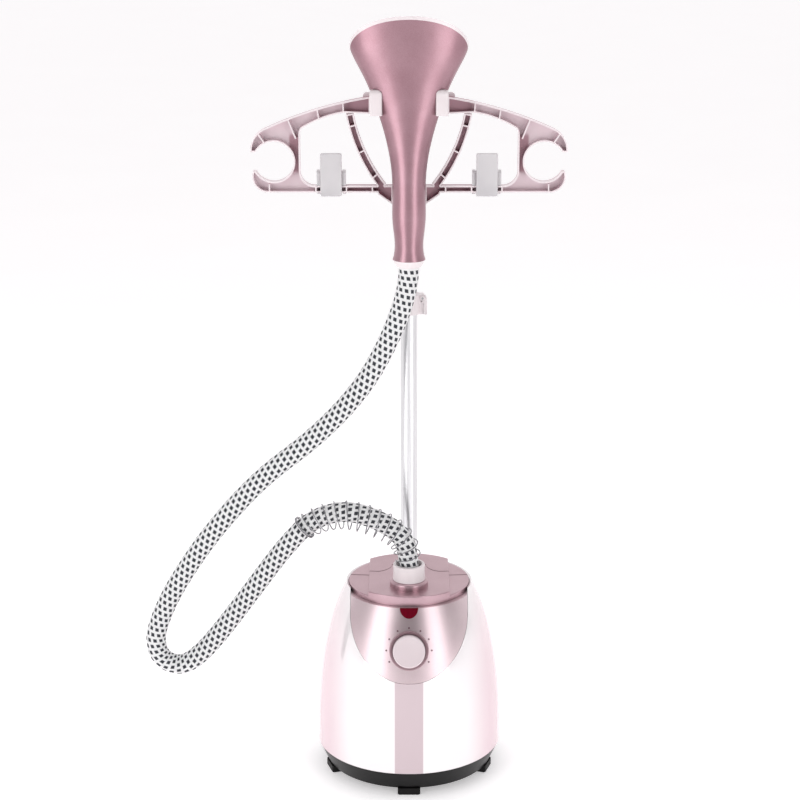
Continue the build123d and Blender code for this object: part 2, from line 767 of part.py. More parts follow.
lever_inner = lever_reach - lever_thickness
pin_x = lever_inner - clamp_pin_r - 0.8
pin_z = clamp_step_z + 4.5
with BuildPart() as pole_clamp:
    with BuildSketch(Plane.XY.offset(clamp_z)):
        with Locations((0, pole_y)):
            Circle(clamp_r)
        with Locations(((lever_inner - 0.4) / 2, pole_y)):
            Rectangle(lever_inner - 0.4, lever_width)
    extrude(amount=clamp_height)
    fillet(pole_clamp.edges().group_by(Axis.Z)[-1], 1.2)
    fillet(pole_clamp.edges().group_by(Axis.Z)[0], 1.2)
    with Locations((0, pole_y, clamp_z + clamp_height)):
        Hole(upper_tube_r + tube_fit)
        Hole(lower_tube_r + tube_fit)
    add(ring_on(Plane((0, pole_y, lower_tube_top_z)), clamp_r - 2, upper_tube_r + tube_fit,
                clamp_z + clamp_height - lower_tube_top_z - 0.6))
    with Locations((clamp_r, pole_y, clamp_step_z)):
        Box(14, 2 * lever_width, 1.2, align=(Align.MIN, Align.CENTER, Align.CENTER), mode=Mode.SUBTRACT)
    with Locations(Location((pin_x, pole_y, pin_z), (90, 0, 0))):
        Cylinder(clamp_pin_r, 2 * lever_width, mode=Mode.SUBTRACT)
pole_clamp.part.label = "pole_clamp"
export_step(pole_clamp.part, "parts/pole_clamp.step")

with BuildPart() as clamp_pin:
    with Locations(Location((pin_x, pole_y, pin_z), (90, 0, 0))):
        Cylinder(clamp_pin_r, lever_width + 5)
clamp_pin.part.label = "clamp_pin"
export_step(clamp_pin.part, "parts/clamp_pin.step")

plate_high_z = pin_z - 3
with BuildPart() as clamp_lever:
    with BuildSketch(Plane.XZ.offset(-pole_y)):
        with Locations((lever_inner + lever_thickness / 2, (clamp_z + plate_high_z) / 2)):
            Rectangle(lever_thickness, plate_high_z - clamp_z)
    extrude(amount=lever_width / 2 + 2.6, both=True)
    fillet(clamp_lever.edges().filter_by(Axis.Y).group_by(Axis.X)[-1], 1.5)
    for side in (-1, 1):
        with BuildSketch(Plane.XZ.offset(-pole_y + side * (lever_width / 2 + 0.4))):
            with Locations((pin_x, pin_z)):
                Circle(3)
            with Locations(((pin_x + lever_reach - 1.5) / 2, pin_z - 3)):
                Rectangle(lever_reach - 1.5 - pin_x, 6)
            with Locations((pin_x, pin_z)):
                Circle(clamp_pin_r + tube_fit, mode=Mode.SUBTRACT)
        extrude(amount=side * 2.2)
clamp_lever.part.label = "clamp_lever"
export_step(clamp_lever.part, "parts/clamp_lever.step")

with BuildPart() as pole_upper:
    add(ring_on(Plane((0, pole_y, upper_tube_bottom_z)), upper_tube_r, upper_tube_r - upper_tube_wall,
                upper_tube_top_z - upper_tube_bottom_z))
pole_upper.part.label = "pole_upper"
export_step(pole_upper.part, "parts/pole_upper.step")

with BuildPart() as pole_bush:
    add(ring_on(Plane((0, pole_y, upper_tube_bottom_z - bush_length)),
                lower_tube_r - lower_tube_wall - tube_fit, 0, bush_length))
    add(ring_on(Plane((0, pole_y, upper_tube_bottom_z)), upper_tube_r - upper_tube_wall, 0, bush_length))
pole_bush.part.label = "pole_bush"
export_step(pole_bush.part, "parts/pole_bush.step")

# ---------------------------------------------------------------- hanger
with BuildPart() as hanger_hub:
    add(ring_on(Plane((0, pole_y, hub_low_z)), hub_r, 0, hub_high_z - hub_low_z))
    with BuildSketch(Plane.XZ.offset(-wing_back_y)):
        with BuildLine():
            Polyline((-hub_r, hub_low_z), (hub_r, hub_low_z), (hub_half_width, bar_low_z),
                     (hub_half_width, hub_high_z), (stem_half_width, hub_high_z + 14),
                     (stem_half_width, cradle_low_z), (-stem_half_width, cradle_low_z),
                     (-stem_half_width, hub_high_z + 14), (-hub_half_width, hub_high_z),
                     (-hub_half_width, bar_low_z), close=True)
        make_face()
    extrude(amount=7)
    with Locations((0, pole_y, hub_low_z)):
        Cylinder(upper_tube_r, upper_tube_top_z - hub_low_z,
                 align=(Align.CENTER, Align.CENTER, Align.MIN), mode=Mode.SUBTRACT)
    with Locations(Location((0, pole_y - hub_r, hub_low_z + 12), (90, 0, 0))):
        Cylinder(hub_screw_r + 0.1, hub_r, mode=Mode.SUBTRACT)
hanger_hub.part.label = "hanger_hub"
export_step(hanger_hub.part, "parts/hanger_hub.step")

with BuildPart() as hub_screw:
    with Locations(Location((0, pole_y - hub_r + 0.3, hub_low_z + 12), (-90, 0, 0))):
        Cylinder(hub_screw_r, hub_r - upper_tube_r - 0.5, align=(Align.CENTER, Align.CENTER, Align.MIN))
hub_screw.part.label = "hub_screw"
export_step(hub_screw.part, "parts/hub_screw.step")

hook_half_angle = asin(hook_mouth / 2 / hook_r)
lip_x = hook_x + hook_r * cos(hook_half_angle)
hook_wall_x = hook_x - hook_r - hook_wall
top = upper_tube_top_z
arm_crown = [(arm_root_x, top + 98.0), (120.0, top + 82.5), (190.0, top + 56.0)]
arm_belly = [(84.0, top + 78.0), (114.0, top + 70.0), (140.0, top + 57.0)]
wing_bar_low = bar_low_z + 0.5
bar_root_x = stem_half_width + 5.3
strut_line = [(77.0, top + 76.0), (62.0, top + 27.0), (34.0, top - 20.0)]


with BuildSketch(mode=Mode.PRIVATE) as strut:
    with BuildLine():
        ThreePointArc(*strut_line)
    trace(line_width=strut_width)


def wing_outline():
    """The right wing's outline: arm, open C-hook, lower bar, strut and foot gusset."""
    with BuildSketch(mode=Mode.PRIVATE) as outline:
        with BuildLine():
            ThreePointArc(*arm_crown)
            ThreePointArc(arm_crown[2], (202.5, top + 44.5), (wing_tip_x, hook_z + hook_mouth / 2))
            Line((wing_tip_x, hook_z + hook_mouth / 2), (lip_x, hook_z + hook_mouth / 2))
            ThreePointArc((lip_x, hook_z + hook_mouth / 2), (hook_x - hook_r, hook_z),
                          (lip_x, hook_z - hook_mouth / 2))
            Line((lip_x, hook_z - hook_mouth / 2), (wing_tip_x - 3, hook_z - hook_mouth / 2))
            ThreePointArc((wing_tip_x - 3, hook_z - hook_mouth / 2), (200, top - 20), (182, wing_bar_low))
            Polyline((182, wing_bar_low), (bar_root_x, wing_bar_low), (bar_root_x, bar_high_z),
                     (122, bar_high_z))
            ThreePointArc((122, bar_high_z), (136, top - 13.5), (hook_wall_x, top))
            Line((hook_wall_x, top), (hook_wall_x, top + 46))
            ThreePointArc((hook_wall_x, top + 46), (hook_wall_x - 0.4, top + 52), arm_belly[2])
            ThreePointArc(arm_belly[2], arm_belly[1], arm_belly[0])
            Polyline(arm_belly[0], (arm_root_x, top + 76.5), arm_crown[0])
        make_face()
        add(strut.sketch)
        with BuildLine():
            Polyline((bar_root_x, wing_bar_low + 2), (42, wing_bar_low + 2), (40, wing_bar_low - 3),
                     (bar_root_x, wing_bar_low - 16), close=True)
        make_face()
    return outline.sketch


def rib_lines():
    """Centre, length and turn of each cross rib of the right wing."""
    arm_ribs = [(x, top + 98 - (x - arm_root_x) ** 2 / 470 - 0.12 * (x - arm_root_x), 40, -lean)
                for x, lean in ((86, 4), (119, 10), (155, 22), (190, 34))]
    bar_ribs = [(x, bar_mid_z, 14, 0) for x in (48, 82, 122, 183)]
    strut_ribs = [(75, top + 60, 16, 75), (61.5, top + 27, 16, 62), (44, top - 5, 16, 50)]
    return arm_ribs + bar_ribs + strut_ribs


wing_plan = wing_outline()
pocket_plan = offset(wing_plan, amount=-rib_wall)
with BuildPart() as hanger_wing_right:
    with BuildSketch(Plane.XZ.offset(-wing_back_y)):
        add(wing_plan)
    extrude(amount=wing_depth)
    with BuildSketch(Plane.XZ.offset(-wing_back_y + wing_web)):
        add(pocket_plan)
        for x, z, length, turn in rib_lines():
            with Locations(Location((x, z, 0), (0, 0, turn))):
                Rectangle(rib_wall, length, mode=Mode.SUBTRACT)
    extrude(amount=wing_depth, mode=Mode.SUBTRACT)
hanger_wing_right.part.label = "hanger_wing_right"
export_step(hanger_wing_right.part, "parts/hanger_wing_right.step")

with BuildPart() as hanger_wing_left:
    add(hanger_wing_right.part.mirror(Plane.YZ))
hanger_wing_left.part.label = "hanger_wing_left"
export_step(hanger_wing_left.part, "parts/hanger_wing_left.step")

# ---------------------------------------------------------------- steam head
head_sections = [
    (0, head_low_r, head_low_r, 0), (47, 21.4, 21.4, 0), (90.6, 21.6, 21.6, 0), (120, 23.1, 22.3, 0.5),
    (151, 28.4, 24.0, 1.5), (184.6, 37.6, 26.5, 2.5), (221, 50.6, 29.5, 3.0), (246, 62.4, 31.8, 3.0),
    (272, 75.0, 34.5, 3.0), (318, 92.0, 38.0, 2.0)]
face_plane = Plane(origin=(0, head_y + 2, face_z), x_dir=(1, 0, 0),
                   z_dir=(0, sin(radians(face_lean)), cos(radians(face_lean))))


def head_form(inset, sections):
    """The head's trumpet, moved in by inset: ellipses stacked up the handle and blended."""
    with BuildPart(mode=Mode.PRIVATE) as form:
        for rise, half_width, half_depth, back in sections:
            with BuildSketch(Plane.XY.offset(head_low_z + rise)):
                with Locations((0, head_y + back)):
                    Ellipse(half_width - inset, half_depth - inset)
        loft()
    return form.part


def below_face(depth):
    """A large block that ends depth above the face's plane."""
    origin = face_plane.origin + face_plane.z_dir * depth
    frame = Plane(origin=origin, x_dir=face_plane.x_dir, z_dir=face_plane.z_dir)
    with BuildPart(mode=Mode.PRIVATE) as block:
        with BuildSketch(frame):
            Rectangle(400, 500)
        extrude(amount=-500)
    return block.part


head_outside = head_form(0, head_sections)
head_inside = head_form(head_wall, head_sections)
head_solid = (head_outside & below_face(0)) - head_inside
with BuildPart() as head_shell:
    add(head_solid)
head_shell.part.label = "head_shell"
export_step(head_shell.part, "parts/head_shell.step")

with BuildPart() as steam_plate:
    add(head_inside & (below_face(-plate_depth) - below_face(-plate_depth - plate_thickness)))
    with BuildSketch(face_plane):
        for row, count in ((-22, 4), (-4, 6), (14, 5)):
            with Locations((0, row)):
                with GridLocations(18, 1, count, 1):
                    Circle(1.6)
    extrude(amount=-3 * plate_depth, mode=Mode.SUBTRACT)
steam_plate.part.label = "steam_plate"
export_step(steam_plate.part, "parts/steam_plate.step")

with BuildPart() as plate_rim:
    add((head_outside - head_inside) & (below_face(rim_height) - below_face(0)))
plate_rim.part.label = "plate_rim"
export_step(plate_rim.part, "parts/plate_rim.step")

with BuildPart() as head_cuff:
    with BuildSketch(Plane((0, head_y, head_low_z))):
        Circle(head_low_r)
        Circle(cuff_bore_r, mode=Mode.SUBTRACT)
    with BuildSketch(Plane((0, head_y, head_low_z - cuff_height))):
        Circle(cuff_low_r)
        Circle(cuff_bore_r, mode=Mode.SUBTRACT)
    loft()
head_cuff.part.label = "head_cuff"
export_step(head_cuff.part, "parts/head_cuff.step")

tube_low_z = hose_end_z + 1
tube_high_z = face_z - 34
with BuildPart() as head_steam_tube:
    add(ring_on(Plane((0, head_y, tube_low_z)), head_low_r - head_wall - 0.4, 5, 4))
    add(ring_on(Plane((0, head_y, tube_low_z)), 6.5, 5, tube_high_z - tube_low_z))
head_steam_tube.part.label = "head_steam_tube"
export_step(head_steam_tube.part, "parts/head_steam_tube.step")

# ---------------------------------------------------------------- cradle for the head
head_room = head_form(-seat_gap, head_sections)
with BuildPart() as head_cradle:
    with BuildSketch(Plane.XZ.offset(-wing_back_y - cradle_plate)):
        with Locations((0, (cradle_low_z + cradle_high_z) / 2)):
            RectangleRounded(2 * cradle_half_width, cradle_high_z - cradle_low_z, 5)
        with Locations((0, (cradle_low_z + tab_low_z) / 2)):
            Rectangle(2 * stem_half_width, cradle_low_z - tab_low_z + 12)
    extrude(amount=cradle_plate)
    add(head_room, mode=Mode.SUBTRACT)
head_cradle.part.label = "head_cradle"
export_step(head_cradle.part, "parts/head_cradle.step")

with BuildPart() as cradle_pad_right:
    with BuildSketch(Plane.XY.offset(pad_low_z)):
        with Locations((arm_root_x - pad_wall / 2, (wing_back_y + pad_reach_y) / 2)):
            Rectangle(pad_wall, wing_back_y - pad_reach_y)
        with Locations((arm_root_x - pad_width / 2, (pad_reach_y + head_y) / 2)):
            Rectangle(pad_width, head_y - pad_reach_y)
    extrude(amount=pad_high_z - pad_low_z)
    fillet(cradle_pad_right.edges().filter_by(Axis.Z).group_by(Axis.Y)[0], 3)
    fillet(cradle_pad_right.edges().filter_by(Axis.Y).group_by(Axis.Z)[-1].sort_by(Axis.X)[0], 5)
    add(head_room, mode=Mode.SUBTRACT)
cradle_pad_right.part.label = "cradle_pad_right"
export_step(cradle_pad_right.part, "parts/cradle_pad_right.step")

with BuildPart() as cradle_pad_left:
    add(cradle_pad_right.part.mirror(Plane.YZ))
cradle_pad_left.part.label = "cradle_pad_left"
export_step(cradle_pad_left.part, "parts/cradle_pad_left.step")


# ---------------------------------------------------------------- garment clips
clip_bridge = 3.5
jaw_y = wing_front_y - clip_gap
ear_back_y = wing_back_y + clip_gap + clip_bridge
pin_y = (wing_front_y + wing_back_y) / 2
for name, x in (("left", -clip_x), ("right", clip_x)):
    with BuildPart() as clip_back:
        for side in (-1, 1):
            with BuildSketch(Plane.YZ.offset(x + side * (clip_half + clip_gap))):
                with Locations(((jaw_y + 0.5 + ear_back_y) / 2, (clip_low_z + clip_ear_high_z) / 2)):
                    RectangleRounded(ear_back_y - jaw_y - 0.5, clip_ear_high_z - clip_low_z, 3)
                with Locations(((jaw_y + 0.5 + wing_back_y + clip_gap) / 2, bar_mid_z - 4)):
                    Rectangle(wing_back_y + clip_gap - jaw_y - 0.5,
                              bar_high_z - bar_low_z + 2 * clip_gap + 8, mode=Mode.SUBTRACT)
                with Locations((pin_y, clip_pin_z)):
                    Circle(clip_pin_r, mode=Mode.SUBTRACT)
            extrude(amount=side * clip_ear)
        with BuildSketch(Plane.XZ.offset(-ear_back_y)):
            with Locations((x, (clip_low_z + clip_ear_high_z) / 2)):
                Rectangle(clip_width + 2 * clip_ear, clip_ear_high_z - clip_low_z - 4)
        extrude(amount=clip_bridge)
    clip_back.part.label = f"clip_back_{name}"
    export_step(clip_back.part, f"parts/clip_back_{name}.step")

    with BuildPart() as clip_pin:
        with Locations(Location((x, pin_y, clip_pin_z), (0, 90, 0))):
            Cylinder(clip_pin_r, clip_width + 2 * (clip_ear + clip_gap))
    clip_pin.part.label = f"clip_pin_{name}"
    export_step(clip_pin.part, f"parts/clip_pin_{name}.step")

    with BuildPart() as clip_jaw:
        with BuildSketch(Plane.XZ.offset(-jaw_y)):
            with Locations((x, (clip_low_z + clip_high_z) / 2)):
                RectangleRounded(clip_width, clip_high_z - clip_low_z, 2.5)
        extrude(amount=clip_plate)
        fillet(clip_jaw.faces().sort_by(Axis.Y)[0].edges(), 1)
        for side in (-1, 1):
            with BuildSketch(Plane.YZ.offset(x + side * clip_half)):
                with BuildLine():
                    Polyline((jaw_y - 1, clip_pin_z - 4), (pin_y, clip_pin_z - 4))
                    ThreePointArc((pin_y, clip_pin_z - 4), (pin_y + 4, clip_pin_z), (pin_y, clip_pin_z + 4))
                    Polyline((pin_y, clip_pin_z + 4), (jaw_y - 1, clip_pin_z + 8),
                             (jaw_y - 1, clip_pin_z - 4))
                make_face()
                with Locations((pin_y, clip_pin_z)):
                    Circle(clip_pin_r + tube_fit, mode=Mode.SUBTRACT)
            extrude(amount=-side * 3)
    clip_jaw.part.label = f"clip_jaw_{name}"
    export_step(clip_jaw.part, f"parts/clip_jaw_{name}.step")

    with BuildPart() as clip_spring:
        with BuildLine() as coil:
            Helix(pitch=2.0, height=14, radius=clip_pin_r + 1.2, center=(x - 7, pin_y, clip_pin_z),
                  direction=(1, 0, 0))
        with BuildSketch(Plane(coil.wires()[0] @ 0, z_dir=coil.wires()[0] % 0)):
            Circle(0.6)
        sweep(is_frenet=True)
    clip_spring.part.label = f"clip_spring_{name}"
    export_step(clip_spring.part, f"parts/clip_spring_{name}.step")

# ---------------------------------------------------------------- hose and its bend-guard spring
# The hose leaves the coupling upwards, arches to the left, hangs in one long loop and climbs to
# the head.  The points stand outside the curve; each corner is rounded as far as its runs allow.
def climb(z):
    """A height on the hose's climb to the head, which lengthens with the pole."""
    return climb_low_z + (z - climb_low_z) * (head_low_z - climb_low_z) / climb_rise


hose_points = [
    (0, coupling_y, hose_start_z), (0, -38, 320), (-10, -37, 350), (-44, -34, 371), (-88, -31, 380),
    (-126, -29, 356), (-163, -28, 319), (-208, -27, 266), (-262, -26, 200), (-292, -26, 166),
    (-317, -26, 151), (-344, -26, 162),
    (-352, -26, 192), (-341, -26, 228), (-318, -26, 275), (-268, -26, climb(350)), (-200, -26, climb(427)),
    (-125, -26, climb(484)), (-62, -26, climb(552)), (-24, -25, climb(622)), (0, head_y, climb(690)),
    (0, head_y, head_low_z + 22), (0.8, head_y + 0.5, hose_end_z)]


def corner_radii(points):
    """Each corner's radius: 0.45 of its shorter run, divided by the tangent of half the turn."""
    runs = [Vector(*b) - Vector(*a) for a, b in zip(points, points[1:])]
    return [0.45 * min(a.length, b.length) / tan(radians(a.get_angle(b)) / 2) for a, b in zip(runs, runs[1:])]


def tube_along(points, outer_r, inner_r):
    """A tube of straight runs and tangent arcs along a list of points."""
    with BuildPart(mode=Mode.PRIVATE) as tube:
        with BuildLine() as route:
            FilletPolyline(*points, radius=corner_radii(points))
        path = route.wires()[0]
        with BuildSketch(Plane(path @ 0, z_dir=path % 0)):
            Circle(outer_r)
            if inner_r:
                Circle(inner_r, mode=Mode.SUBTRACT)
        sweep()
    return tube.part


with BuildPart() as steam_hose:
    add(tube_along(hose_points, hose_r, 0))
steam_hose.part.label = "steam_hose"
export_step(steam_hose.part, "parts/steam_hose.step")

# The spring's envelope shares the hose's first corners and stands on the coupling's rim.
spring_points = [(0, coupling_y, coupling_top_z + seat_gap)] + hose_points[1:6] + [(-144.5, -28.5, 337.5)]
with BuildPart() as hose_spring:
    add(tube_along(spring_points, spring_r, hose_r + spring_gap))
hose_spring.part.label = "hose_spring"
export_step(hose_spring.part, "parts/hose_spring.step")

with BuildPart() as base_screws:
    for angle in foot_angles(180 / foot_count):
        spot = Vector(screw_circle_r, 0, 0).rotate(Axis.Z, angle)
        neck_z = foot_height + screw_sink
        add(ring_on(Plane(spot + Vector(0, 0, neck_z - screw_head_height)), screw_head_r, 0,
                    screw_head_height))
        add(ring_on(Plane(spot + Vector(0, 0, neck_z)), screw_r, 0, rim_z + post_height - 8 - neck_z))
base_screws.part.label = "base_screws"
export_step(base_screws.part, "parts/base_screws.step")
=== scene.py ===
# %% [markdown]
# # An upright garment steamer
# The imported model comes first. It brings every moulded, turned and bent part at its real
# size and place, in metres, with +Z up and the control panel facing -Y. Everything below
# either gives one of those parts its finish or stands for one with a finer surface.

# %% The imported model
from math import radians

import bpy
import numpy as np
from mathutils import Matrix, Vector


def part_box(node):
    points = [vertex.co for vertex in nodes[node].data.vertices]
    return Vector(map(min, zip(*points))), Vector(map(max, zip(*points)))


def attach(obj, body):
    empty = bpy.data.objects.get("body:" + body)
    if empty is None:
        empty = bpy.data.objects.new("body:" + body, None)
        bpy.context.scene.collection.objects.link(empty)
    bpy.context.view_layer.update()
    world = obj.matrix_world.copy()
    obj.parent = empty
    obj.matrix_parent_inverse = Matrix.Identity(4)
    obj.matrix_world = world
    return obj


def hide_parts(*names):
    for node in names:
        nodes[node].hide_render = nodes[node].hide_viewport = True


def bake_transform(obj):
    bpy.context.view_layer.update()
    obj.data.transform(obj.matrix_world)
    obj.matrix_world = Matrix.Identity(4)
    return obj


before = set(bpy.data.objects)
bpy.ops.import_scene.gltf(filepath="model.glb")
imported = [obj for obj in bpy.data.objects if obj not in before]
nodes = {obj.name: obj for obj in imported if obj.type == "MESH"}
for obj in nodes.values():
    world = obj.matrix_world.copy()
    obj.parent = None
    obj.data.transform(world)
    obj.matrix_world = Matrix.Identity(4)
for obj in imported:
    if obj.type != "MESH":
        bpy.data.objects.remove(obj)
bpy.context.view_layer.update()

# %% [markdown]
# ## Camera
# A product is photographed from a few metres away with a long lens, so that its uprights
# stay upright.  The camera stands 2.65 m in front of the pole, a little above the hanger,
# and looks down by 16.5 degrees.  A small sideways shift frames the hose without turning
# the camera away from the steamer's front.

# %% Camera
camera_data = bpy.data.cameras.new("camera")
camera_data.sensor_width = 36.0
camera_data.lens = 92.25
camera_data.shift_x = -0.01125
camera_data.clip_end = 60.0
camera = bpy.data.objects.new("camera", camera_data)
camera.location = (0.0, -2.6505, 1.3138)
camera.rotation_euler = (radians(90 - 16.5), 0, 0)
bpy.context.scene.collection.objects.link(camera)
bpy.context.scene.camera = camera
bpy.context.scene.view_settings.view_transform = "Standard"

# %% [markdown]
# ## Shader maths
# Most finishes here are small sums: a mask times a colour, one wave plus another.  Written
# as bare nodes such sums are hard to read, so a socket is wrapped in a class whose
# operators add the Math nodes.  `1 - mask` works too, through the reflected forms.


# %% Shader maths
class Socket:
    """One output socket of a node tree, on which ordinary arithmetic adds Math nodes."""

    def __init__(self, finish, socket):
        self.finish = finish
        self.socket = socket

    def maths(self, operation, *others):
        return self.finish.node("ShaderNodeMath", {"operation": operation},
                                {i: value for i, value in enumerate((self, *others))})

    def __add__(self, other):
        return self.maths("ADD", other)

    __radd__ = __add__

    def __sub__(self, other):
        return self.maths("SUBTRACT", other)

    def __rsub__(self, other):
        return self.finish.node("ShaderNodeMath", {"operation": "SUBTRACT"}, {0: other, 1: self})

    def __mul__(self, other):
        return self.maths("MULTIPLY", other)

    __rmul__ = __mul__

    def __truediv__(self, other):
        return self.maths("DIVIDE", other)

    def sine(self):
        return self.maths("SINE")

    def size(self):
        return self.maths("ABSOLUTE")

    def whole(self):
        return self.maths("FLOOR")

    def part(self):
        return self.maths("FRACT")

    def step(self, low, high):
        """0 below low, 1 above high, and a smooth rise between them."""
        return self.finish.node("ShaderNodeMapRange", {"interpolation_type": "SMOOTHSTEP"},
                                {"Value": self, "From Min": low, "From Max": high})


class Finish:
    """A material with a Principled shader, and one method that adds any other node."""

    def __init__(self, name):
        self.material = bpy.data.materials.new(name)
        self.material.use_nodes = True
        self.tree = self.material.node_tree
        self.shader = self.tree.nodes["Principled BSDF"]

    def plug(self, target, value):
        if isinstance(value, Socket):
            self.tree.links.new(value.socket, target)
        else:
            target.default_value = value

    def node(self, kind, settings=None, inputs=None, output=0):
        made = self.tree.nodes.new(kind)
        for key, value in (settings or {}).items():
            setattr(made, key, value)
        for key, value in (inputs or {}).items():
            self.plug(made.inputs[key], value)
        return Socket(self, made.outputs[output])

    def place(self):
        return self.node("ShaderNodeTexCoord", output="Object")

    def axes(self, vector):
        """The x, y and z of a vector, as three sockets."""
        split = self.node("ShaderNodeSeparateXYZ", inputs={0: vector}).socket.node
        return [Socket(self, split.outputs[i]) for i in range(3)]

    def noise(self, scale, detail=2.0, vector=None):
        return self.node("ShaderNodeTexNoise", None,
                         {"Vector": vector or self.place(), "Scale": scale, "Detail": detail})

    def mix(self, mask, low, high):
        """One colour where mask is 0, the other where it is 1."""
        return self.node("ShaderNodeMix", {"data_type": "RGBA"}, {0: mask, 6: low, 7: high}, output=2)

    def stretch(self, scale):
        return self.node("ShaderNodeMapping", None, {"Vector": self.place(), "Scale": scale})

    def relief(self, height, distance, strength=1.0):
        return self.node("ShaderNodeBump", None,
                         {"Height": height, "Distance": distance, "Strength": strength})

    def done(self, **sockets):
        """Sets or links the shader's sockets, named with underscores for spaces."""
        for key, value in sockets.items():
            self.plug(self.shader.inputs[key.replace("_", " ")], value)
        return self.material


def paint(red, green, blue):
    """A colour as four linear numbers, from the usual 0 to 255 screen values."""
    screen = np.array([red, green, blue]) / 255
    linear = np.where(screen <= 0.04045, screen / 12.92, ((screen + 0.055) / 1.055) ** 2.4)
    return (*linear.tolist(), 1.0)


# %% [markdown]
# ## Stage and light
# The steamer stands on a plain pale floor.  Two tall soft boxes, one on each side of the
# camera, draw the bright bands down the panel and the head, and a large soft one above
# fills the rest.  The room is white behind the steamer and dark in front of it, because
# lacquered metal only looks like metal when it has something dark to reflect.

# %% Stage and light
floor_mesh = bpy.data.meshes.new("floor")
floor_mesh.from_pydata([(-20, -20, 0), (20, -20, 0), (20, 20, 0), (-20, 20, 0)], [], [(0, 1, 2, 3)])
floor = bpy.data.objects.new("floor", floor_mesh)
bpy.context.scene.collection.objects.link(floor)
floor_paint = Finish("floor_paint")
floor_mesh.materials.append(floor_paint.done(
    Base_Color=floor_paint.mix(floor_paint.noise(3.0), paint(244, 242, 243), paint(248, 247, 248)),
    Roughness=0.8, Emission_Color=paint(255, 253, 254), Emission_Strength=0.40))

room = bpy.data.worlds.new("room")
room.use_nodes = True
bpy.context.scene.world = room
background = room.node_tree.nodes["Background"]
direction = room.node_tree.nodes.new("ShaderNodeTexCoord")
split = room.node_tree.nodes.new("ShaderNodeSeparateXYZ")
shade = room.node_tree.nodes.new("ShaderNodeMapRange")
room.node_tree.links.new(direction.outputs["Generated"], split.inputs[0])
room.node_tree.links.new(split.outputs["Y"], shade.inputs["Value"])
shade.interpolation_type = "SMOOTHSTEP"
for socket, value in (("From Min", -0.9), ("From Max", 0.6), ("To Min", 0.05), ("To Max", 0.98)):
    shade.inputs[socket].default_value = value
room.node_tree.links.new(shade.outputs["Result"], background.inputs["Strength"])
background.inputs["Color"].default_value = (1.0, 0.985, 0.99, 1.0)


def soft_box(name, place, turn, width, height, power):
    """A rectangular lamp at a place, turned by Euler angles in degrees."""
    lamp = bpy.data.lights.new(name, "AREA")
    lamp.shape = "RECTANGLE"
    lamp.size = width
    lamp.size_y = height
    lamp.energy = power
    obj = bpy.data.objects.new(name, lamp)
    obj.location = place
    obj.rotation_euler = [radians(a) for a in turn]
    bpy.context.scene.collection.objects.link(obj)


soft_box("left_box", (-1.45, -1.5, 0.9), (86, 0, -44), 1.1, 2.3, 19)
soft_box("right_box", (1.35, -1.65, 0.9), (86, 0, 39), 0.9, 2.3, 15)
soft_box("top_box", (0.0, -0.3, 2.8), (6, 0, 0), 1.8, 1.8, 13)


# %% [markdown]
# ## Finishes
# Each finish is one short function.  The body is pearl white under a clear coat, with a
# pale pink band down its front and pink sides painted in as reflections; the cap, panel and
# head carry three shades of a satin rose lacquer with fine metal flake, the head's darker
# shade being painted shade; the pole is drawn aluminium, with hair lines along its length.


# %% Lacquer, pearl and other mouldings
def rose_lacquer(name, low, high):
    """Fine flake: two sizes of noise vary the colour, and the larger one the roughness."""
    f = Finish(name)
    flake = f.noise(2600.0, 1.0)
    cloud = f.noise(22.0, 3.0)
    mask = (flake * 0.6 + cloud * 0.4).step(0.3, 0.7)
    return f.done(Base_Color=f.mix(mask, low, high), Metallic=0.85,
                  Roughness=0.31 + 0.08 * cloud, Coat_Weight=0.25, Coat_Roughness=0.1,
                  Normal=f.relief(flake, 0.00004, 0.35))


def pearl():
    """Pearl white under a clear coat; a pink band down the front and pink sides are painted reflections in
    its colour.
    """
    f = Finish("pearl")
    cloud = f.noise(9.0, 2.0)
    flake = f.noise(3000.0, 1.0)
    mask = (0.75 * cloud + 0.25 * flake).step(0.35, 0.65)
    x, y, _ = f.axes(f.place())
    # painted reflection: a darker pink band down the front centre, where the dark room in front is
    # reflected
    painted_reflection_band = (1 - x.size().step(0.0185, 0.0200)) * (1 - y.step(-0.02, 0.02))
    # painted reflection: the body turns pink towards its side edges
    side = x.size().step(0.075, 0.120)
    white = f.mix(mask, paint(247, 242, 244), paint(251, 247, 248))
    white_and_painted_edges = f.mix(side * 0.9, white, paint(228, 200, 208))
    return f.done(Base_Color=f.mix(painted_reflection_band, white_and_painted_edges, paint(208, 191, 196)), Metallic=0.42,
                  Roughness=0.07 + 0.04 * cloud, Coat_Weight=0.5, Coat_Roughness=0.05,
                  Normal=f.relief(flake, 0.00003, 0.3))


def moulded(name, low, high, roughness, grain=900.0, depth=0.00006, coat=0.0, gloss=0.5):
    """Moulded plastic: a fine even grain, and a slight drift between two close colours."""
    f = Finish(name)
    fine = f.noise(grain, 2.0)
    drift = f.noise(14.0, 2.0)
    return f.done(Base_Color=f.mix(drift.step(0.35, 0.65), low, high), Roughness=roughness + 0.1 * fine,
                  Coat_Weight=coat, Specular_IOR_Level=gloss, Normal=f.relief(fine, depth, 0.5))


def drawn_metal(name, low, high, roughness, stretch=(900, 900, 6)):
    """Metal with hair lines: noise squeezed across the draw and long along it."""
    f = Finish(name)
    lines = f.noise(1.0, 3.0, f.stretch(stretch))
    return f.done(Base_Color=f.mix(lines.step(0.3, 0.7), low, high), Metallic=1.0,
                  Roughness=roughness + 0.12 * lines, Normal=f.relief(lines, 0.00003, 0.4))


def cast_metal(name):
    f = Finish(name)
    grit = f.noise(700.0, 3.0)
    return f.done(Base_Color=f.mix(grit, paint(150, 150, 152), paint(190, 190, 192)), Metallic=0.9,
                  Roughness=0.45 + 0.2 * grit, Normal=f.relief(grit, 0.0002, 0.6))


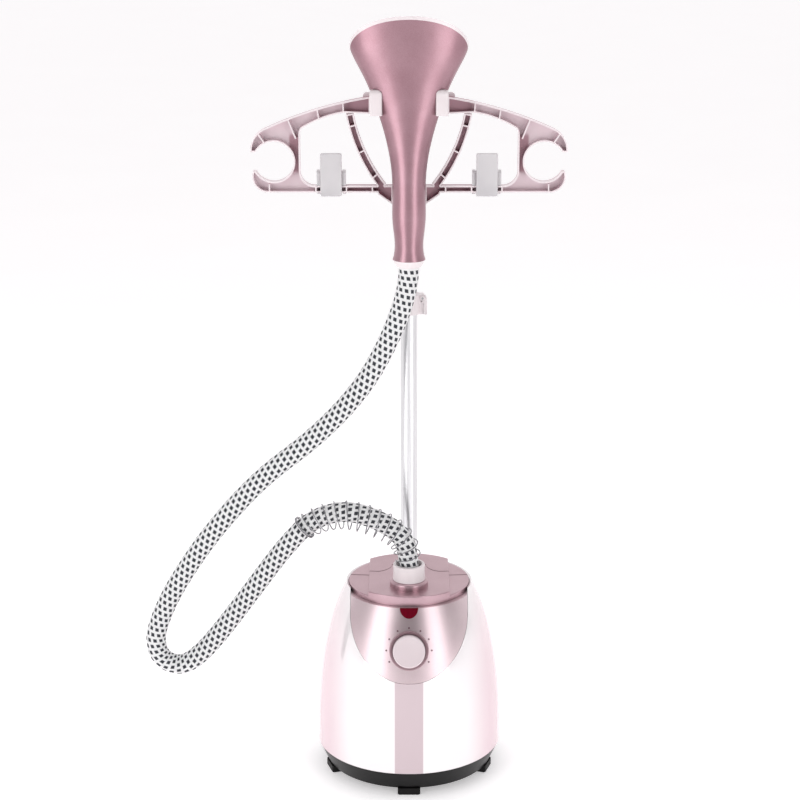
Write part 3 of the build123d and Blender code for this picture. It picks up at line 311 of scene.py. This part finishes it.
def channel_rose(front):
    """The hanger: pale rib edges at the front, rose arms, and deeper rose thin members; the colour darkens
    with depth behind the front edges, painted shade in the channel's recesses.
    """
    f = Finish("channel_rose")
    x, y, z = f.axes(f.place())
    # painted shade: surfaces set back from the front edges take the darker colours below
    depth = y.step(front + 0.0006, front + 0.008)
    drift = f.noise(18.0, 2.0)
    beam = 1 - x.size().step(0.076, 0.092)
    wall = (1 - (x.size() - 0.149).size().step(0.005, 0.010)) * (1 - (z - 0.861).size().step(0.020, 0.030))
    thin = (beam + wall).step(0.0, 1.0)
    arm = f.mix(drift.step(0.3, 0.7), paint(222, 202, 208), paint(232, 216, 221))
    deep = f.mix(thin, arm, paint(180, 140, 151))
    return f.done(Base_Color=f.mix(depth, paint(240, 228, 231), deep), Roughness=0.32 + 0.1 * drift,
                  Metallic=0.25, Coat_Weight=0.3, Normal=f.relief(f.noise(900.0), 0.00005, 0.4))


def clear_tank(name):
    f = Finish(name)
    haze = f.noise(40.0, 2.0)
    return f.done(Base_Color=f.mix(haze, paint(226, 232, 238), paint(240, 243, 246)),
                  Roughness=0.08 + 0.08 * haze, Alpha=0.42)


def red_glass(name):
    """A dark red lens with fine upright flutes moulded behind its face."""
    f = Finish(name)
    x = f.axes(f.place())[0]
    flutes = (x * 3600.0).sine() * 0.5 + 0.5
    return f.done(Base_Color=f.mix(flutes, paint(84, 2, 20), paint(120, 4, 32)), Roughness=0.12,
                  Coat_Weight=0.4, Normal=f.relief(flutes, 0.0001, 0.4))


def steam_holes_plate(name):
    """The coated steam plate: near black, with a slight orange-peel."""
    f = Finish(name)
    peel = f.noise(420.0, 3.0)
    return f.done(Base_Color=f.mix(peel, paint(70, 62, 66), paint(96, 86, 90)), Metallic=0.6,
                  Roughness=0.35 + 0.2 * peel, Normal=f.relief(peel, 0.00015, 0.5))


# %% [markdown]
# ## The braid
# The hose wears a sleeve woven from white yarn, with dark yarns that come to the surface
# as staggered checks.  The pattern lives in the tube's own UV map: u goes once round the
# hose and v counts rows along it, so the checks bend with the hose.  Two sets of slanted
# waves raise the yarns between the checks.


# %% Braid
def braid():
    """Rows of dark checks, each row turned by half a step from the last."""
    f = Finish("braid")
    u, v, _ = f.axes(f.node("ShaderNodeUVMap", {"uv_map": "weave"}))
    row = v.whole()
    half_step = (row * 0.5).part()
    slant = (v.part() - 0.5) * 0.22
    across = ((u * CHECKS_ROUND + half_step + slant).part() - 0.5).size()
    along = (v.part() - 0.5).size()
    wobble = f.noise(900.0, 1.0) * 0.07
    check = (1 - (across + wobble).step(0.29, 0.35)) * (1 - (along + wobble).step(0.29, 0.36))
    yarn_a = ((u * 32.0 + v * 4.0) * 6.2832).sine()
    yarn_b = ((u * 32.0 - v * 4.0) * 6.2832).sine()
    weave = (yarn_a * yarn_b) * 0.5 + 0.5
    cloth = f.mix(weave, paint(232, 232, 234), paint(255, 255, 255))
    ink = f.mix(weave, paint(26, 28, 34), paint(66, 69, 77))
    return f.done(Base_Color=f.mix(check, cloth, ink), Roughness=0.72 + 0.15 * weave,
                  Normal=f.relief(weave - 0.5 * check, 0.0006, 0.8))


# %% [markdown]
# ## Lines and tubes
# A hose is a circle carried along a smooth line.  The line is a NURBS curve whose control
# points are the corners of the route, and Blender is asked for its points once.  Since no
# stretch of the hose runs front to back, the Y axis gives every ring a steady "side".


# %% Lines and tubes
def smooth_line(points, steps=10):
    """Points along the NURBS curve that has the given control points, as an array."""
    data = bpy.data.curves.new("route", "CURVE")
    data.dimensions = "3D"
    spline = data.splines.new("NURBS")
    spline.points.add(len(points) - 1)
    spline.points.foreach_set("co", np.column_stack([points, np.ones(len(points))]).ravel())
    spline.order_u = 3
    spline.use_endpoint_u = True
    spline.resolution_u = steps
    route = bpy.data.objects.new("route", data)
    bpy.context.scene.collection.objects.link(route)
    mesh = bpy.data.meshes.new_from_object(route)
    line = np.empty(3 * len(mesh.vertices))
    mesh.vertices.foreach_get("co", line)
    bpy.data.objects.remove(route)
    return line.reshape(-1, 3)


def lengths(line):
    """The distance walked along a line at each of its points."""
    runs = np.linalg.norm(np.diff(line, axis=0), axis=1)
    return np.concatenate([[0], np.cumsum(runs)])


def even(line, count):
    """The same line with count evenly spaced points."""
    walked = lengths(line)
    wanted = np.linspace(0, walked[-1], count)
    return np.column_stack([np.interp(wanted, walked, line[:, k]) for k in range(3)])


def unit(vectors):
    return vectors / np.linalg.norm(vectors, axis=1, keepdims=True)


def ring_frames(line):
    """Two directions square to the line at each point: one beside it, one across that."""
    along = unit(np.gradient(line, axis=0))
    side = unit(np.cross(along, (0.0, 1.0, 0.0)))
    return side, np.cross(along, side)


def grid_mesh(name, points, uv=None):
    """A closed mesh from rows of rings.  points has the shape (rows, ring, 3)."""
    rows, ring, _ = points.shape
    i, j = np.meshgrid(np.arange(rows - 1), np.arange(ring), indexing="ij")
    low, high = i * ring, (i + 1) * ring
    beside = (j + 1) % ring
    quads = np.stack([low + j, low + beside, high + beside, high + j], -1).reshape(-1, 4)
    first_cap = list(range(ring))[::-1]
    last_cap = [(rows - 1) * ring + k for k in range(ring)]
    faces = quads.tolist() + [first_cap, last_cap]
    mesh = bpy.data.meshes.new(name)
    mesh.from_pydata(points.reshape(-1, 3).tolist(), [], faces)
    if uv is not None:
        layer = mesh.uv_layers.new(name="weave")
        turn = np.stack([j, j + 1, j + 1, j], -1).reshape(-1) / ring
        walk = uv[np.stack([i, i, i + 1, i + 1], -1).reshape(-1)]
        flat = np.zeros((len(mesh.loops), 2))
        flat[:len(turn)] = np.column_stack([turn, walk])
        layer.data.foreach_set("uv", flat.ravel())
    mesh.polygons.foreach_set("use_smooth", [True] * len(quads) + [False, False])
    mesh.update()
    obj = bpy.data.objects.new(name, mesh)
    bpy.context.scene.collection.objects.link(obj)
    return obj


def carry_circle(name, line, radius, sides, side, across, uv=None):
    """A circle carried along a line: centre + radius * (cos a * side + sin a * across)."""
    angle = (np.arange(sides) * 2 * np.pi / sides)[None, :, None]
    ring = np.cos(angle) * side[:, None] + np.sin(angle) * across[:, None]
    return grid_mesh(name, line[:, None] + radius * ring, uv=uv)


def dress(obj, material, body):
    """Gives a new piece its finish and the body that it moves with."""
    obj.data.materials.clear()
    obj.data.materials.append(material)
    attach(obj, body)


# %% [markdown]
# ## The hose
# It leaves the coupling upwards, arches to the left inside its spring, hangs in one long
# loop and climbs into the head's cuff.  These are the corners of its route in metres.

# %% The hose
HOSE_RADIUS = 0.0135
HOSE_SIDES = 32
HOSE_ROWS = 500
CHECKS_ROUND = 10
ROW_PITCH = 0.0083
hose_corners = np.array([
    (0, -38, 289.3), (0, -38, 320), (-10, -37, 350), (-44, -34, 371), (-88, -31, 383),
    (-133, -29, 368), (-172, -28, 325), (-214, -27, 266), (-262, -26, 200), (-292, -26, 166),
    (-317, -26, 151), (-344, -26, 162), (-352, -26, 192), (-341, -26, 228), (-318, -26, 275),
    (-268, -26, 350), (-200, -26, 427), (-125, -26, 484), (-62, -26, 552), (-24, -25, 622),
    (0, -23, 690), (0, -23, 750), (0.8, -22.5, 808)]) / 1000
route = smooth_line(hose_corners)
hose_line = even(route, HOSE_ROWS)
hose = carry_circle("braided_hose", hose_line, HOSE_RADIUS, HOSE_SIDES, *ring_frames(hose_line),
                    uv=lengths(hose_line) / ROW_PITCH)

# %% [markdown]
# ## The bend-guard spring
# A loose coil of thin bright wire keeps the hose from kinking where it arches.  The coil
# winds round the hose's own line: its centre slides along the route while its angle turns,
# and at the far end it closes with two turns that no longer advance.

# %% The bend-guard spring
SPRING_START = 0.0215       # along the hose's route, at the coupling's rim
SPRING_LENGTH = 0.178
SPRING_TURNS = 13
SPRING_DROOP = 0.0045
CLOSED_TURNS = 2
CLOSED_PITCH = 0.0019
COIL_RADIUS = 0.0171        # at both ends; the middle of the coil stands out further
COIL_SWELL = 0.0024
WIRE_RADIUS = 0.0008
WIRE_SIDES = 8
start = np.searchsorted(lengths(route), SPRING_START)
guard = even(route[start:], 2000)
walked = lengths(guard)
turns = np.linspace(0, SPRING_TURNS + CLOSED_TURNS, 560)
open_part = np.clip(turns / SPRING_TURNS, 0, 1)
advance = SPRING_LENGTH * open_part + CLOSED_PITCH * np.clip(turns - SPRING_TURNS, 0, None)
centre = np.column_stack([np.interp(advance, walked, guard[:, k]) for k in range(3)])
side, across = ring_frames(centre)
angle = 2 * np.pi * turns[:, None]
droop = SPRING_DROOP * np.sin(np.pi * np.clip(advance / SPRING_LENGTH, 0, 1))[:, None] ** 0.7
coil_radius = COIL_RADIUS + COIL_SWELL * np.sin(np.pi * open_part)[:, None]
coil_line = centre + coil_radius * (np.cos(angle) * side + np.sin(angle) * across) - droop * (0, 0, 1)
outward = unit(coil_line - centre + droop * (0, 0, 1))
along = unit(np.gradient(coil_line, axis=0))
beside = np.cross(along, outward)
spring = carry_circle("guard_spring", coil_line, WIRE_RADIUS, WIRE_SIDES, outward, beside)

hose.data.materials.append(braid())
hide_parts("steam_hose")
spring_wire = drawn_metal("spring_wire", paint(112, 112, 116), paint(176, 176, 180), 0.18,
                          (300, 300, 300))
dress(spring, spring_wire, "base")
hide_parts("hose_spring")

# %% [markdown]
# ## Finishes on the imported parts
# A part whose shape is right stays as it is and only gets its finish.

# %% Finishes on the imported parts
rose = rose_lacquer("rose_lacquer", paint(178, 146, 154), paint(200, 170, 178))
# The head gets a darker copy of the rose lacquer: painted shade for its dark reflections.
head_rose_painted_shade = rose_lacquer("head_lacquer_painted_shade", paint(150, 112, 122), paint(176, 140, 149))
pale_rose = rose_lacquer("panel_lacquer", paint(216, 194, 200), paint(230, 212, 216))
pearl_white = pearl()
white = moulded("white_moulding", paint(230, 220, 222), paint(240, 232, 234), 0.30, coat=0.2)
knob_pink = moulded("knob_moulding", paint(224, 210, 214), paint(232, 220, 223), 0.34, coat=0.2)
grey_clip = moulded("clip_moulding", paint(196, 193, 196), paint(210, 207, 209), 0.38)
black = moulded("black_moulding", paint(8, 7, 8), paint(14, 12, 13), 0.28, 500.0, 0.0001, gloss=0.22)
rubber = moulded("foot_rubber", paint(12, 11, 12), paint(20, 18, 19), 0.45, 350.0, 0.0003, gloss=0.2)
inside_grey = moulded("inner_moulding", paint(120, 120, 124), paint(140, 140, 144), 0.5)
silicone = moulded("silicone", paint(222, 220, 216), paint(236, 234, 230), 0.45, 600.0)
ink = moulded("dial_ink", paint(92, 58, 70), paint(116, 78, 90), 0.4)
pole_metal = drawn_metal("drawn_tube", paint(204, 204, 206), paint(236, 236, 238), 0.27)
steel = drawn_metal("plated_steel", paint(150, 150, 153), paint(196, 196, 198), 0.3, (400, 400, 40))
cast = cast_metal("cast_block")
tank_clear = clear_tank("tank_clear")
hanger_rose = channel_rose(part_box("hanger_wing_right")[0][1])

finishes = {
    pale_rose: ["control_panel"],
    rose: ["front_cap", "tank_cover", "coupling_ring", "knob_bezel"],
    head_rose_painted_shade: ["head_shell"],
    pearl_white: ["body_shell"],
    white: ["hose_coupling", "pole_clamp", "clamp_lever", "head_cradle", "cradle_pad_left",
            "cradle_pad_right", "plate_rim", "head_cuff"],
    knob_pink: ["control_knob"],
    grey_clip: ["clip_back_left", "clip_back_right", "clip_jaw_left", "clip_jaw_right"],
    black: ["base_plate", "steam_switch"],
    rubber: ["feet", "cord_gland"],
    inside_grey: ["tank_seat", "valve_pin", "pole_socket", "tank_valve_cap", "pole_bush"],
    silicone: ["inlet_tube", "valve_plunger", "head_steam_tube"],
    ink: ["dial_marks"],
    pole_metal: ["pole_lower", "pole_upper"],
    steel: ["steam_pipe", "heater_element", "thermostat", "thermal_fuse", "clamp_pin", "base_screws",
            "hub_screw", "knob_shaft", "clip_pin_left", "clip_pin_right", "clip_spring_left",
            "clip_spring_right", "valve_spring"],
    cast: ["heater_block"],
    tank_clear: ["water_tank", "level_window"],
    red_glass("red_lens"): ["indicator_lens"],
    steam_holes_plate("steam_plate_coat"): ["steam_plate"],
    hanger_rose: ["hanger_wing_left", "hanger_wing_right", "hanger_hub"],
}
for material, names in finishes.items():
    for name in names:
        mesh = nodes[name].data
        mesh.materials.clear()
        mesh.materials.append(material)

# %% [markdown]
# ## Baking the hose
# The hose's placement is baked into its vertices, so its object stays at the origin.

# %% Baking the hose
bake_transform(hose)
